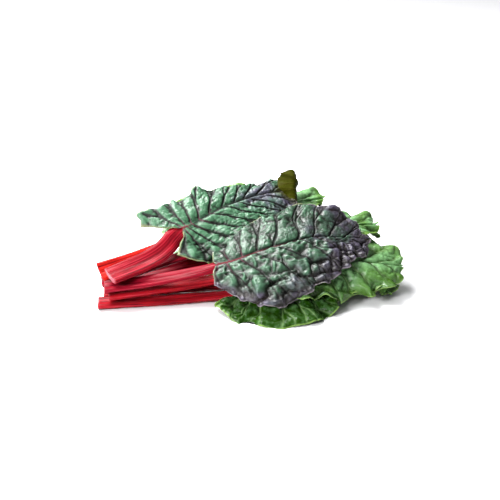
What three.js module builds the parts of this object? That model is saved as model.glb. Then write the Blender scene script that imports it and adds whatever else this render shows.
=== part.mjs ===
// A bunch of ruby chard lying on a table, with its cut ends towards -X and its leaf tips towards +X.
// Every leaf is two solids: a red stalk that runs on as the midrib, and the green blade that it carries.
// Millimetres, +Z up. The bunch lies on z = 0, and its box is centred over the origin.
import * as THREE from 'three';

// Blade: a thin, waved sheet with raised panels between its side veins
const BLADE_THICKNESS = 0.8;
const SEAM_GAP = 0.35; // between a midrib and the blade on top of it
const VEIN_PAIRS = 11;
const ROWS = 2 * VEIN_PAIRS; // a row of points on each vein and one on each panel's crest
const HALF_COLUMNS = 5; // steps from the midrib to the edge
const PANEL_RISE = 1.5; // a panel's crest above the blade's own surface, and a vein below it
const PANEL_START = 0.25; // share of the half width over which the panels rise from the midrib
const SWEEP_POWER = 0.6; // how soon the side veins turn from the base's slant to the tip's
const RUFFLE_POWER = 3; // how close to the edge the ruffles stay
const TIP_RELIEF = 0.2; // share of the panels and ruffles left where the blade narrows to nothing
const BLADE_ROUGHNESS = 0.42;

// Stalk: broad and channelled at the cut end, and a slim rounded rib under the blade
const STALK_RINGS = 8;
const STALK_WIDTH = { cut: 25, base: 15, rib: 6.4, tip: 2.2 };
const STALK_HEIGHT = { cut: 10, base: 8, rib: 4.4, tip: 1.6 };
const STALK_SECTION = [ // half widths and heights: the channel on top first, then the round back
  [-1, -0.34], [-0.82, -0.06], [-0.42, -0.12], [0, -0.24], [0.42, -0.12], [0.82, -0.06],
  [1, -0.34], [0.68, -0.82], [0.24, -1], [-0.24, -1], [-0.68, -0.82],
];
const RIB_SECTION = [ // the same points on a rib
  [-1, -0.5], [-0.75, -0.26], [-0.4, -0.08], [0, 0], [0.4, -0.08], [0.75, -0.26],
  [1, -0.5], [0.68, -0.84], [0.24, -1], [-0.24, -1], [-0.68, -0.84],
];
const TOP_POINTS = 7; // of a section, on its upper side
const TAPER_POWER = 0.8; // how soon the stalk narrows from the cut end
const ROUNDING_POWER = 3; // how late its channel closes
const FLARE_POWER = 8; // how soon the rib slims down from the blade's base
const STALK_ROUGHNESS = 0.38;

// Heap: a map of the height reached so far, on which the next blade is laid
const CELL = 4;
const HEAP = { left: -240, front: -180, columns: 122, rows: 94 };
const REST_GAP = 3.6; // from what lies below to a blade's middle
const SPREAD_CELLS = 2; // how far a bump below is felt, which also rounds it off
const STIFFNESS_PASSES = 4; // how far a raised point lifts the blade around it
const FILL_STEPS = 8; // between two points of a grid that is laid on the map
const KEEL_SHARE = 0.3; // share of the half width that stays clear of the midrib

const COLOUR = { stalk: '#b3202f', dark: '#3e5a48', green: '#4c7d33' };

// Each leaf from the table upwards. layer orders what rests on what.
// path runs along the top of the stalk and midrib to the tip, and the blade begins at its point bladeAt.
// ribRows is how many rows of the blade the midrib runs under. girth scales the stalk's width, and neck the
// width where the blade begins, if that is another.
// roll turns the leaf about its path, near side down, at the cut end, the blade's base and its tip.
// reach is a half's width, sweep the slant of its lowest vein, lift its slope up from the midrib and fall how
// far it then bends down, in degrees. outline gives shares of the reach from base to tip.
// ruffle waves the edge, tipSweep is the slant of the last veins, and curl rolls the tip back over the blade.
const FULL = [0.78, 0.98, 1, 0.95, 0.86, 0.72, 0.5, 0.12];
const LEAVES = [
  {
    name: 'table_front', colour: 'green', layer: { stalk: 1, blade: 5 }, bladeAt: 2, ribRows: 20, girth: 1.02,
    path: [[-193, -47, 9], [-100, -38, 9], [-8, -30, 14], [34, -40, 19], [72, -44, 19], [108, -40, 12]],
    roll: [0, 6, 4],
    near: { reach: 72, sweep: -58, lift: 4, fall: 30, outline: [0.7, 0.98, 1, 0.92, 0.8, 0.62, 0.42, 0.12] },
    far: { reach: 44, sweep: -56, lift: 4, fall: 30, outline: [0.92, 1, 1, 0.95, 0.86, 0.72, 0.5, 0.12] },
    ruffle: { height: 5, waves: 5.5, start: 0.2 },
    tipSweep: 72,
  },
  {
    name: 'table_right', colour: 'green', layer: { stalk: 2, blade: 4 }, bladeAt: 2, ribRows: 20, girth: 0.9,
    path: [[-189, -20, 9], [-80, -10, 13], [52, 2, 16], [98, 0, 24], [144, -4, 24], [190, -12, 12]],
    roll: [0, 4, 4],
    near: { reach: 50, sweep: -20, lift: 4, fall: 34, outline: FULL },
    far: { reach: 56, sweep: -30, lift: 4, fall: 32, outline: FULL },
    ruffle: { height: 6, waves: 6, start: 0.6 },
    tipSweep: 72,
  },
  {
    name: 'table_back', colour: 'green', layer: { stalk: 3, blade: 6 }, bladeAt: 2, ribRows: 20, girth: 0.9,
    path: [[-187, 10, 11], [-120, 18, 21], [-54, 34, 27.5], [12, 56, 30], [78, 72, 28], [142, 84, 16]],
    roll: [30, 36, 0],
    near: { reach: 52, sweep: -30, lift: 4, fall: 30, outline: FULL },
    far: {
      reach: 80, sweep: -80, lift: 6, fall: 72,
      outline: [0.92, 0.9, 0.87, 0.81, 0.73, 0.61, 0.42, 0.1],
    },
    ruffle: { height: 5, waves: 5, start: 0.9 },
    tipSweep: 72,
  },
  {
    name: 'green_right', colour: 'green', layer: { stalk: 7, blade: 8 }, bladeAt: 2, ribRows: 20, girth: 1,
    path: [[-179, -46, 20.8], [-90, -31, 26], [24, -16, 40], [84, -12, 46], [142, -10, 46], [194, -6, 38]],
    roll: [0, 14, 10],
    near: { reach: 76, sweep: -30, lift: -6, fall: 40, outline: FULL },
    far: { reach: 72, sweep: -30, lift: 4, fall: 18, outline: [0.78, 0.98, 1, 1, 1, 0.9, 0.6, 0.1] },
    ruffle: { height: 6, waves: 6, start: 0.1 },
    tipSweep: 72,
  },
  {
    name: 'green_back', colour: 'green', layer: { stalk: 9, blade: 10 }, bladeAt: 2, ribRows: 20, girth: 0.95,
    path: [[-193, -12, 21], [-84, 6, 50], [2, 36, 58], [58, 50, 61], [116, 60, 64], [168, 68, 64]],
    roll: [0, 18, 10],
    near: { reach: 60, sweep: -55, lift: 0, fall: 30, outline: [0.9, 1, 1, 0.97, 0.92, 0.84, 0.66, 0.24] },
    far: { reach: 62, sweep: -50, lift: 8, fall: 30, outline: [0.78, 0.98, 1, 0.97, 0.92, 0.82, 0.64, 0.24] },
    ruffle: { height: 6, waves: 5, start: 0.4 },
    tipSweep: 72,
  },
  {
    name: 'high_back', colour: 'green', layer: { stalk: 11, blade: 12 }, bladeAt: 2, ribRows: 20, girth: 1.05,
    path: [[-194, -13, 33], [-130, 10, 50], [-72, 44, 62], [-20, 70, 76], [40, 92, 82], [98, 104, 86]],
    roll: [45, 30, 12],
    near: { reach: 56, sweep: -54, lift: 0, fall: 14, outline: [0.9, 1, 1, 0.95, 0.86, 0.72, 0.5, 0.12] },
    far: { reach: 58, sweep: -78, lift: 6, fall: 14, outline: [0.85, 1.1, 1.02, 0.85, 0.8, 0.78, 0.62, 0.2] },
    ruffle: { height: 5, waves: 5, start: 0.3 },
    tipSweep: 72,
  },
  {
    name: 'dark_left', colour: 'dark', layer: { stalk: 14, blade: 15 }, bladeAt: 2, ribRows: 14, girth: 1.3,
    neck: 1.65,
    path: [
      [-176, -46, 46], [-118, -11, 57], [-88, 18, 75], [-42, 50, 94],
      [6, 78, 102], [50, 94, 104], [92, 106, 101],
    ],
    roll: [10, 46, 26],
    near: {
      reach: 72, sweep: -38, lift: 2, fall: 14,
      outline: [0.92, 1.06, 0.9, 0.86, 0.78, 0.66, 0.5, 0.12],
    },
    far: {
      reach: 66, sweep: -43, lift: 0, fall: 24,
      outline: [1.17, 0.74, 0.62, 0.46, 0.4, 0.4, 0.38, 0.14],
    },
    ruffle: { height: 3, waves: 5, start: 0 },
    tipSweep: 60,
    curl: { from: [52, 92, 104], along: [0.98, 0.08, -0.16], up: [0.18, -0.43, 0.88], radius: 9 },
  },
  {
    name: 'dark_front', colour: 'dark', layer: { stalk: 13, blade: 16 }, bladeAt: 2, ribRows: 20, girth: 1.05,
    path: [[-184, -47, 31.6], [-114, -39, 38], [-44, -32, 51], [30, -19, 72], [94, 0, 77], [152, 20, 56]],
    roll: [6, 28, 26],
    near: {
      reach: 98, sweep: -12, lift: 6, fall: 36,
      outline: [0.34, 0.87, 0.93, 0.84, 0.74, 0.64, 0.46, 0.14],
    },
    far: { reach: 80, sweep: 10, lift: 4, fall: 20, outline: [0.32, 0.7, 1.02, 1.08, 0.98, 0.8, 0.42, 0.1] },
    ruffle: { height: 3, waves: 5, start: 0.5 },
    tipSweep: 72,
  },
];

const radians = THREE.MathUtils.degToRad;
const { clamp, lerp } = THREE.MathUtils;

// Centre line and frames of a leaf

function leafCurve(leaf) {
  const points = leaf.path.map((p) => new THREE.Vector3(...p));
  return new THREE.CatmullRomCurve3(points, false, 'catmullrom', 0.5);
}

// Share of the curve's length at which the blade begins
function bladeShare(leaf) {
  const lengths = leafCurve(leaf).getLengths();
  const steps = lengths.length - 1;
  return lengths[Math.round((steps * leaf.bladeAt) / (leaf.path.length - 1))] / lengths[steps];
}

// Frames carried along the curve without twisting, then rolled about it: along, near side and up
function framesAlong(leaf, shares) {
  const curve = leafCurve(leaf);
  const carried = new THREE.Vector3(0, 0, 1);
  const start = bladeShare(leaf);
  return shares.map((share) => {
    const along = curve.getTangentAt(share);
    carried.addScaledVector(along, -along.dot(carried)).normalize();
    const [cut, base, tip] = leaf.roll;
    const onStalk = share < start;
    const degrees = onStalk ? lerp(cut, base, share / start) : lerp(base, tip, (share - start) / (1 - start));
    const up = carried.clone().applyAxisAngle(along, radians(degrees));
    const near = new THREE.Vector3().crossVectors(along, up);
    return { origin: curve.getPointAt(share), along, near, up };
  });
}

// Blade

function outlineShare(outline, t) {
  return new THREE.SplineCurve(outline.map((y, i) => new THREE.Vector2(i, y))).getPoint(t).y;
}

// A point of the blade: t runs from its base to its tip, s from the far edge at -1 to the near edge at 1
function bladePoint(leaf, frame, row, s) {
  const t = row / ROWS;
  const half = s < 0 ? leaf.far : leaf.near;
  const q = Math.abs(s);
  const reach = half.reach * outlineShare(half.outline, t);
  const sweep = radians(lerp(half.sweep, leaf.tipSweep, t ** SWEEP_POWER));
  const outward = frame.near.clone().multiplyScalar(Math.sign(s) * Math.cos(sweep));
  outward.addScaledVector(frame.along, Math.sin(sweep) * Math.abs(Math.sign(s)));
  // The half bends along an arc from the slope lift to the slope lift - fall
  const lift = radians(half.lift);
  const fall = radians(half.fall);
  const slope = lift - fall * q;
  const run = (reach / fall) * (Math.sin(lift) - Math.sin(slope));
  const rise = (reach / fall) * (Math.cos(slope) - Math.cos(lift));
  const panel = PANEL_RISE * Math.min(1, q / PANEL_START) * (row % 2 === 1 ? 1 : -1);
  const { height, waves, start } = leaf.ruffle;
  const wave = height * q ** RUFFLE_POWER * Math.sin(2 * Math.PI * (waves * t + start));
  const relief = (panel + wave) * Math.min(1, reach / half.reach + TIP_RELIEF);
  const stand = BLADE_THICKNESS / 2 + SEAM_GAP;
  return frame.origin.clone()
    .addScaledVector(outward, run - relief * Math.sin(slope))
    .addScaledVector(frame.up, rise + relief * Math.cos(slope) + stand);
}

// A tip that rolls back over the blade: what lies beyond the curl's start winds up about its axis
function curled(p, curl) {
  const along = new THREE.Vector3(...curl.along).normalize();
  const up = new THREE.Vector3(...curl.up);
  up.addScaledVector(along, -along.dot(up)).normalize();
  const beyond = p.clone().sub(new THREE.Vector3(...curl.from)).dot(along);
  if (beyond <= 0) return p;
  const turn = Math.min(beyond / curl.radius, Math.PI);
  const straight = beyond - turn * curl.radius;
  return p.addScaledVector(along, curl.radius * Math.sin(turn) - straight - beyond)
    .addScaledVector(up, curl.radius * (1 - Math.cos(turn)));
}

function bladeGrid(leaf) {
  const start = bladeShare(leaf);
  const shares = Array.from({ length: ROWS + 1 }, (_, row) => lerp(start, 1, row / ROWS));
  return framesAlong(leaf, shares).map((frame, row) => {
    const columns = Array.from({ length: 2 * HALF_COLUMNS + 1 }, (_, c) => c / HALF_COLUMNS - 1);
    const points = columns.map((s) => bladePoint(leaf, frame, row, s));
    return leaf.curl ? points.map((p) => curled(p, leaf.curl)) : points;
  });
}

// Unit normals of a grid of points, on its upper side
function gridNormals(grid) {
  const at = (r, c) => grid[clamp(r, 0, grid.length - 1)][clamp(c, 0, grid[0].length - 1)];
  return grid.map((line, r) => line.map((_, c) => {
    const alongRow = new THREE.Vector3().subVectors(at(r, c + 1), at(r, c - 1));
    const alongColumn = new THREE.Vector3().subVectors(at(r + 1, c), at(r - 1, c));
    return alongRow.cross(alongColumn).normalize();
  }));
}

// Heap

const heap = new Float32Array(HEAP.columns * HEAP.rows);

function heapCell(x, y) {
  const column = clamp(Math.floor((x - HEAP.left) / CELL), 0, HEAP.columns - 1);
  const row = clamp(Math.floor((y - HEAP.front) / CELL), 0, HEAP.rows - 1);
  return row * HEAP.columns + column;
}

// Raises the heap to a grid of points, filled in between them
function addToHeap(grid) {
  for (let r = 0; r + 1 < grid.length; r++) {
    for (let c = 0; c + 1 < grid[r].length; c++) {
      for (let i = 0; i <= FILL_STEPS; i++) {
        for (let j = 0; j <= FILL_STEPS; j++) {
          const left = grid[r][c].clone().lerp(grid[r + 1][c], i / FILL_STEPS);
          const right = grid[r][c + 1].clone().lerp(grid[r + 1][c + 1], i / FILL_STEPS);
          const p = left.lerp(right, j / FILL_STEPS);
          const cell = heapCell(p.x, p.y);
          heap[cell] = Math.max(heap[cell], p.z);
        }
      }
    }
  }
}

function spreadOver(map, combine) {
  return map.map((_, cell) => {
    const row = Math.floor(cell / HEAP.columns);
    const column = cell % HEAP.columns;
    const found = [];
    for (let r = row - SPREAD_CELLS; r <= row + SPREAD_CELLS; r++) {
      for (let c = column - SPREAD_CELLS; c <= column + SPREAD_CELLS; c++) {
        if (r >= 0 && r < HEAP.rows && c >= 0 && c < HEAP.columns) found.push(map[r * HEAP.columns + c]);
      }
    }
    return combine(found);
  });
}

// The heap's surface, widened and then rounded off, so it stays above every bump
function heapSurface() {
  return spreadOver(spreadOver(heap, (list) => Math.max(...list)), mean);
}

function surfaceHeight(surface, x, y) {
  const column = clamp((x - HEAP.left) / CELL - 0.5, 0, HEAP.columns - 1.001);
  const row = clamp((y - HEAP.front) / CELL - 0.5, 0, HEAP.rows - 1.001);
  const c = Math.floor(column);
  const r = Math.floor(row);
  const height = (i, j) => surface[(r + i) * HEAP.columns + c + j];
  const low = lerp(height(0, 0), height(0, 1), column - c);
  const high = lerp(height(1, 0), height(1, 1), column - c);
  return lerp(low, high, row - r);
}

function mean(list) {
  return list.reduce((sum, z) => sum + z, 0) / list.length;
}

// Each point is raised at least as far as its neighbours are on average
function stiffened(raise) {
  return raise.map((line, r) => line.map((up, c) => {
    const around = [raise[r - 1]?.[c], raise[r + 1]?.[c], line[c - 1], line[c + 1]];
    return Math.max(up, mean(around.filter((z) => z !== undefined)));
  }));
}

// Lays a blade on the heap: points that would lie in it are raised, with room for the midrib below the blade,
// and the blade's stiffness raises the points around them
function layOnHeap(grid) {
  const surface = heapSurface();
  let raise = grid.map((line, row) => line.map((p, column) => {
    const offMidrib = Math.abs(column / HALF_COLUMNS - 1);
    const keel = offMidrib < KEEL_SHARE ? lerp(STALK_HEIGHT.rib, STALK_HEIGHT.tip, row / ROWS) : 0;
    const below = surfaceHeight(surface, p.x, p.y);
    const rest = below > 0 ? below + REST_GAP + keel : BLADE_THICKNESS / 2 + keel;
    return Math.max(0, rest - p.z);
  }));
  for (let pass = 0; pass < STIFFNESS_PASSES; pass++) raise = stiffened(raise);
  grid.forEach((line, r) => line.forEach((p, c) => { p.z += raise[r][c]; }));
}

// Solids

function solidGeometry(points, triangles) {
  const geometry = new THREE.BufferGeometry().setFromPoints(points);
  geometry.setIndex(triangles.flat());
  geometry.computeVertexNormals();
  return geometry;
}

// A closed sheet: the grid's upper face, its lower face split alike, and the rim between them
function bladeGeometry(grid) {
  const normals = gridNormals(grid);
  const columns = grid[0].length;
  const count = grid.length * columns;
  const offset = (side) => grid.flatMap((line, r) => line.map((p, c) => (
    p.clone().addScaledVector(normals[r][c], (side * BLADE_THICKNESS) / 2)
  )));
  const points = [...offset(1), ...offset(-1)];
  const triangles = [];
  for (let r = 0; r + 1 < grid.length; r++) {
    for (let c = 0; c + 1 < columns; c++) {
      const a = r * columns + c;
      const [b, d, e] = [a + 1, a + columns, a + columns + 1];
      triangles.push([a, b, e], [a, e, d]);
      triangles.push([count + a, count + e, count + b], [count + a, count + d, count + e]);
    }
  }
  const rim = [];
  for (let c = 0; c + 1 < columns; c++) rim.push([c + 1, c], [count - columns + c, count - columns + c + 1]);
  for (let r = 0; r + 1 < grid.length; r++) {
    rim.push([r * columns, (r + 1) * columns], [(r + 2) * columns - 1, (r + 1) * columns - 1]);
  }
  rim.forEach(([a, b]) => triangles.push([a, b, count + b], [a, count + b, count + a]));
  return solidGeometry(points, triangles);
}

// A ring of the stalk: its section hangs below the frame's origin
function stalkRing(frame, width, height, ribness) {
  return STALK_SECTION.map(([x, y], k) => {
    const across = lerp(x, RIB_SECTION[k][0], ribness) * (width / 2);
    const down = lerp(y, RIB_SECTION[k][1], ribness) * height;
    const p = frame.origin.clone().addScaledVector(frame.near, across).addScaledVector(frame.up, down);
    p.z = Math.max(p.z, 0); // it lies on the table with a flat underside
    return p;
  });
}

// Rings from the cut end to the blade, bent up to where the blade came to lie, then on under the blade
function stalkRings(leaf, grid) {
  const start = bladeShare(leaf);
  const shares = Array.from({ length: STALK_RINGS }, (_, k) => (start * k) / STALK_RINGS);
  const baseFrame = framesAlong(leaf, [start])[0];
  const neck = leaf.neck ?? leaf.girth;
  const middle = HALF_COLUMNS;
  const stand = BLADE_THICKNESS / 2 + SEAM_GAP;
  const raised = grid[0][middle].clone().sub(baseFrame.origin).addScaledVector(baseFrame.up, -stand);
  const rings = framesAlong(leaf, shares).map((frame, k) => {
    const v = k / STALK_RINGS;
    frame.origin.addScaledVector(raised, v * v);
    const width = lerp(leaf.girth * STALK_WIDTH.cut, neck * STALK_WIDTH.base, v ** TAPER_POWER);
    return stalkRing(frame, width, lerp(STALK_HEIGHT.cut, STALK_HEIGHT.base, v), v ** ROUNDING_POWER);
  });
  const normals = gridNormals(grid);
  for (let row = 0; row <= leaf.ribRows; row++) {
    const t = row / ROWS;
    const up = normals[row][middle];
    const along = new THREE.Vector3().subVectors(grid[row + 1][middle], grid[Math.max(row - 1, 0)][middle]);
    const near = new THREE.Vector3().crossVectors(along, up).normalize();
    const origin = grid[row][middle].clone().addScaledVector(up, -stand);
    const flare = (1 - t) ** FLARE_POWER;
    const rib = leaf.girth * lerp(STALK_WIDTH.rib, STALK_WIDTH.tip, t);
    const width = lerp(rib, neck * STALK_WIDTH.base, flare);
    const height = lerp(lerp(STALK_HEIGHT.rib, STALK_HEIGHT.tip, t), STALK_HEIGHT.base, flare);
    rings.push(stalkRing({ origin, near, up }, width, height, 1));
  }
  return rings;
}

function stalkGeometry(rings) {
  const sides = STALK_SECTION.length;
  const points = rings.flat();
  const triangles = [];
  for (let r = 0; r + 1 < rings.length; r++) {
    for (let k = 0; k < sides; k++) {
      const a = r * sides + k;
      const b = r * sides + ((k + 1) % sides);
      triangles.push([a, b + sides, a + sides], [a, b, b + sides]);
    }
  }
  // Each end is closed by a fan about its middle
  const middleOf = (ring) => ring.reduce((sum, p) => sum.add(p), new THREE.Vector3()).divideScalar(sides);
  points.push(middleOf(rings[0]), middleOf(rings[rings.length - 1]));
  const cut = points.length - 2;
  const last = (rings.length - 1) * sides;
  for (let k = 0; k < sides; k++) {
    const next = (k + 1) % sides;
    triangles.push([cut, next, k], [cut + 1, last + k, last + next]);
  }
  return solidGeometry(points, triangles);
}

// The bunch

function buildBunch() {
  const bunch = new THREE.Group();
  const meshes = [];
  const add = (name, geometry, colour, roughness) => {
    const material = new THREE.MeshStandardMaterial({ color: colour, roughness, metalness: 0 });
    const mesh = new THREE.Mesh(geometry, material);
    mesh.name = name;
    meshes.push(mesh);
    bunch.add(mesh);
  };
  const steps = LEAVES.flatMap((leaf) => [
    { at: leaf.layer.stalk, leaf, kind: 'stalk' },
    { at: leaf.layer.blade, leaf, kind: 'blade' },
  ]).sort((a, b) => a.at - b.at);
  for (const { leaf, kind } of steps) {
    if (kind === 'stalk') {
      const nominal = bladeGrid(leaf);
      const onStalk = stalkRings(leaf, nominal).slice(0, STALK_RINGS);
      addToHeap(onStalk.map((ring) => ring.slice(0, TOP_POINTS)));
    } else {
      const grid = bladeGrid(leaf);
      layOnHeap(grid);
      addToHeap(grid);
      add(`blade_${leaf.name}`, bladeGeometry(grid), COLOUR[leaf.colour], BLADE_ROUGHNESS);
      add(`stalk_${leaf.name}`, stalkGeometry(stalkRings(leaf, grid)), COLOUR.stalk, STALK_ROUGHNESS);
    }
  }
  const box = new THREE.Box3().setFromObject(bunch);
  const middle = box.getCenter(new THREE.Vector3());
  meshes.forEach((mesh) => mesh.position.set(-middle.x, -middle.y, -box.min.z));
  return bunch;
}

export default buildBunch();
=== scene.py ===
import math
from functools import partial
import bpy
import numpy as np
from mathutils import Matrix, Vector


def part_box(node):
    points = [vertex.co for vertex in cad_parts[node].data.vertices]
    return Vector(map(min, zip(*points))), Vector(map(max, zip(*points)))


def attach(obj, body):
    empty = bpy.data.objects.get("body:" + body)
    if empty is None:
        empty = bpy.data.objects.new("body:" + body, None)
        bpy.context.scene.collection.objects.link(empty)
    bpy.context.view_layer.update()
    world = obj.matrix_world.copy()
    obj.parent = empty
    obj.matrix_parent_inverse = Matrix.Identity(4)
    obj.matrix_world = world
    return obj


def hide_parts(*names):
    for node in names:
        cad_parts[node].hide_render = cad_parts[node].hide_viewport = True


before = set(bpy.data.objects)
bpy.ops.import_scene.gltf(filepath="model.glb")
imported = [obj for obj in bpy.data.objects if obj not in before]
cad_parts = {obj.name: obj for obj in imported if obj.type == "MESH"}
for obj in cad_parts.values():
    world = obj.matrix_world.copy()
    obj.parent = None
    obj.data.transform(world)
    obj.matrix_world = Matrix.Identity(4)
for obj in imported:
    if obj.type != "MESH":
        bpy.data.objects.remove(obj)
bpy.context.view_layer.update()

# The leaves, in millimetres and degrees, in the bunch's own layout before it is centred.
# path runs along the top of the stalk and midrib, and the blade begins at its third point.
# layer has the turns at which stalk and blade are laid, roll the twist at the cut, the base and the tip.
# A half has its width, its lowest vein's slant, its slope up from the midrib, how far it then bends down
# and its widths from base to tip as shares. ruffle has the height, number and start of the edge's waves.
# Other pairs are for the far and the near half; a dent has its place, its depth and its width.
# The side veins of a half have their slant where the midrib begins and ends and how soon the one turns to
# the other; along is how many leave the midrib at even steps, and fan how many more spread from its base.
fullOutline = [0.78, 0.98, 1, 0.95, 0.86, 0.72, 0.5, 0.12]


def halfLeaf(reach, sweep, lift, fall, outline=fullOutline):
    return {"reach": reach, "sweep": sweep, "lift": lift, "fall": fall, "outline": outline}


plainLeaf = {
    "tone": "green", "ribRows": 20, "tipSweep": 72, "warm": 0, "wave": 1, "skirt": 0, "crush": (1, 1),
    "lobed": (1, 1), "corner": (0.14, 0.14), "dents": ((0, 0, 1), (0, 0, 1)), "ribRed": (0.3, 0.9, 0.6),
    "veins": {"near": (-70, 70, 0.4), "far": (-60, 70, 0.4), "along": 6, "fan": 3},
}
# A leaf's share of the pale crest colour is partly its own tone and partly painted shade: the leaves that
# lie in the shade of others get a low one.
leaves = {
    "table_front": {
        "layer": (1, 5), "girth": 1.02, "seed": 11,
        # painted shade: this lowest leaf lies under the others, so it takes the darker finish and only a
        # small share of the pale crest colour
        "finish": "moist", "bloom": 0.12, "warm": 0.2, "crush": (1.3, 1.8),
        "path": [(-193, -47, 9), (-100, -38, 9), (-8, -30, 14),
                 (34, -40, 19), (72, -44, 19), (108, -40, 12)],
        "roll": (0, 6, 4), "ruffle": (5, 5.5, 0.2),
        "near": halfLeaf(72, -58, 4, 30, [0.7, 0.98, 1, 0.92, 0.8, 0.62, 0.42, 0.12]),
        "far": halfLeaf(44, -56, 4, 30, [0.92, 1, 1, 0.95, 0.86, 0.72, 0.5, 0.12]),
    },
    "table_right": {
        "layer": (2, 4), "girth": 0.9, "seed": 12, "bloom": 0.45, "warm": 0.2, "crush": (1.3, 1.6),
        "path": [(-189, -20, 9), (-80, -10, 13), (52, 2, 16), (98, 0, 24), (144, -4, 24), (190, -12, 12)],
        "roll": (0, 4, 4), "ruffle": (6, 6, 0.6),
        "near": halfLeaf(50, -20, 4, 34),
        "far": halfLeaf(56, -30, 4, 32),
    },
    "table_back": {
        "layer": (3, 6), "girth": 0.9, "seed": 13, "bloom": 0.8, "wave": 0.45,
        "path": [(-187, 10, 11), (-120, 18, 21), (-54, 34, 27.5),
                 (12, 56, 30), (78, 72, 28), (142, 84, 16)],
        "roll": (30, 36, 0), "ruffle": (5, 5, 0.9),
        "near": halfLeaf(52, -30, 4, 30),
        "far": halfLeaf(80, -80, 6, 72, [0.92, 0.9, 0.87, 0.81, 0.73, 0.61, 0.42, 0.1]),
    },
    "green_right": {
        "layer": (7, 8), "girth": 1, "seed": 14, "bloom": 0.8, "warm": 0.2, "crush": (1.2, 1.8),
        "path": [(-179, -46, 20.8), (-90, -31, 26), (24, -16, 40),
                 (84, -12, 46), (142, -10, 46), (194, -6, 38)],
        "roll": (0, 14, 10), "ruffle": (6, 6, 0.1),
        "near": halfLeaf(76, -30, -6, 40),
        "far": halfLeaf(72, -30, 4, 18, [0.78, 0.98, 1, 1, 1, 0.9, 0.6, 0.1]),
    },
    "green_back": {
        "layer": (9, 10), "girth": 0.95, "seed": 15, "bloom": 1.2, "wave": 0.45,
        "path": [(-193, -12, 21), (-84, 6, 50), (2, 36, 58), (58, 50, 61), (116, 60, 64), (168, 68, 64)],
        "roll": (0, 18, 10), "ruffle": (6, 5, 0.4),
        "near": halfLeaf(60, -55, 0, 30, [0.9, 1, 1, 0.97, 0.92, 0.84, 0.66, 0.24]),
        "far": halfLeaf(62, -50, 8, 30, [0.78, 0.98, 1, 0.97, 0.92, 0.82, 0.64, 0.24]),
    },
    "high_back": {
        "layer": (11, 12), "girth": 1.05, "seed": 16, "bloom": 1.1, "wave": 0.45, "warm": 0.8,
        "path": [(-194, -13, 33), (-130, 10, 50), (-72, 44, 62),
                 (-20, 70, 76), (40, 92, 82), (98, 104, 86)],
        "roll": (45, 30, 12), "ruffle": (5, 5, 0.3),
        "near": halfLeaf(56, -54, 0, 14, [0.9, 1, 1, 0.95, 0.86, 0.72, 0.5, 0.12]),
        "far": halfLeaf(58, -78, 6, 14, [0.85, 1.1, 1.02, 0.85, 0.8, 0.78, 0.62, 0.2]),
    },
    "dark_left": {
        "tone": "dark", "layer": (14, 15), "ribRows": 14, "girth": 1.3, "neck": 1.65, "seed": 17,
        "path": [(-176, -46, 46), (-118, -11, 57), (-88, 18, 75), (-42, 50, 94),
                 (6, 78, 102), (50, 94, 104), (92, 106, 101)],
        "roll": (10, 46, 26), "tipSweep": 60, "ruffle": (3, 5, 0),
        "near": halfLeaf(72, -38, 2, 14, [0.92, 1.06, 0.9, 0.86, 0.78, 0.66, 0.5, 0.12]),
        "far": halfLeaf(66, -43, 0, 24, [1.17, 0.74, 0.62, 0.46, 0.4, 0.4, 0.38, 0.14]),
        "curl": {"from": (52, 92, 104), "along": (0.98, 0.08, -0.16),
                 "up": (0.18, -0.43, 0.88), "radius": 9},
        "veins": {"near": (-85, 74, 0.15), "far": (-85, 66, 0.18), "along": 9, "fan": 6},
        "bloom": 1.2, "warm": 0.1, "crush": (1.15, 1.3), "ribRed": (0, 0.1, 0), "skirt": -6,
        "lobed": (2.6, 1.0), "corner": (0.15, 0.1), "dents": ((0.08, 0.14, 0.06), (0, 0, 1)),
        "purple": {"from": 0.45, "to": 0.85, "edge": 0.15, "base": 0.1, "least": 0},
    },
    "dark_front": {
        "tone": "dark", "layer": (13, 16), "girth": 1.05, "seed": 18,
        "path": [(-184, -47, 31.6), (-114, -39, 38), (-44, -32, 51),
                 (30, -19, 72), (94, 0, 77), (152, 20, 56)],
        "roll": (6, 28, 26), "ruffle": (3, 5, 0.5),
        "near": halfLeaf(98, -12, 6, 36, [0.34, 0.87, 0.93, 0.84, 0.74, 0.64, 0.46, 0.14]),
        "far": halfLeaf(80, 10, 4, 20, [0.32, 0.7, 1.02, 1.08, 0.98, 0.8, 0.42, 0.1]),
        "veins": {"near": (-85, 70, 0.22), "far": (-80, 60, 0.35), "along": 7, "fan": 4},
        "bloom": 0.44, "crush": (1.0, 3.4), "ribRed": (0.35, 0.65, 0.2), "lobed": (1.5, 1.8),
        "purple": {"from": 0.5, "to": 0.9, "edge": 0.66, "base": 0.42, "least": 0.08},
    },
}
leaves = {name: {**plainLeaf, **leaf} for name, leaf in leaves.items()}
bladeForm = {
    "firstPoint": 2, "pathSteps": 200,
    "thickness": 0.8, "seamGap": 0.35,
    "rows": 22, "halfColumns": 5,  # of the coarse sheet that is laid on the heap
    "panelRise": 1.5, "panelStart": 0.25,
    "sweepPower": 0.6, "rufflePower": 3, "tipRelief": 0.2,
}
standOff = bladeForm["thickness"] / 2 + bladeForm["seamGap"]  # from the midrib's top to the blade's middle


# Curves and noise

def lerp(a, b, w):
    return a + (b - a) * w


def smooth(low, high, x):
    w = np.clip((x - low) / (high - low), 0, 1)
    return w * w * (3 - 2 * w)


def bell(x, width):
    return np.exp(-(x / width) ** 2)


def unit(v):
    return v / np.maximum(np.linalg.norm(v, axis=-1, keepdims=True), 1e-9)


def runLength(points, axis):  # the way gone so far along the rows or the columns of a grid
    steps = np.diff(points, axis=axis, prepend=np.take(points, [0], axis))
    return np.cumsum(np.linalg.norm(steps, axis=-1), axis=axis)


def catmullRom(p0, p1, p2, p3, w):
    v1 = (p2 - p0) / 2
    v2 = (p3 - p1) / 2
    return p1 + v1 * w + (3 * (p2 - p1) - 2 * v1 - v2) * w ** 2 + (2 * (p1 - p2) + v1 + v2) * w ** 3


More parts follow.
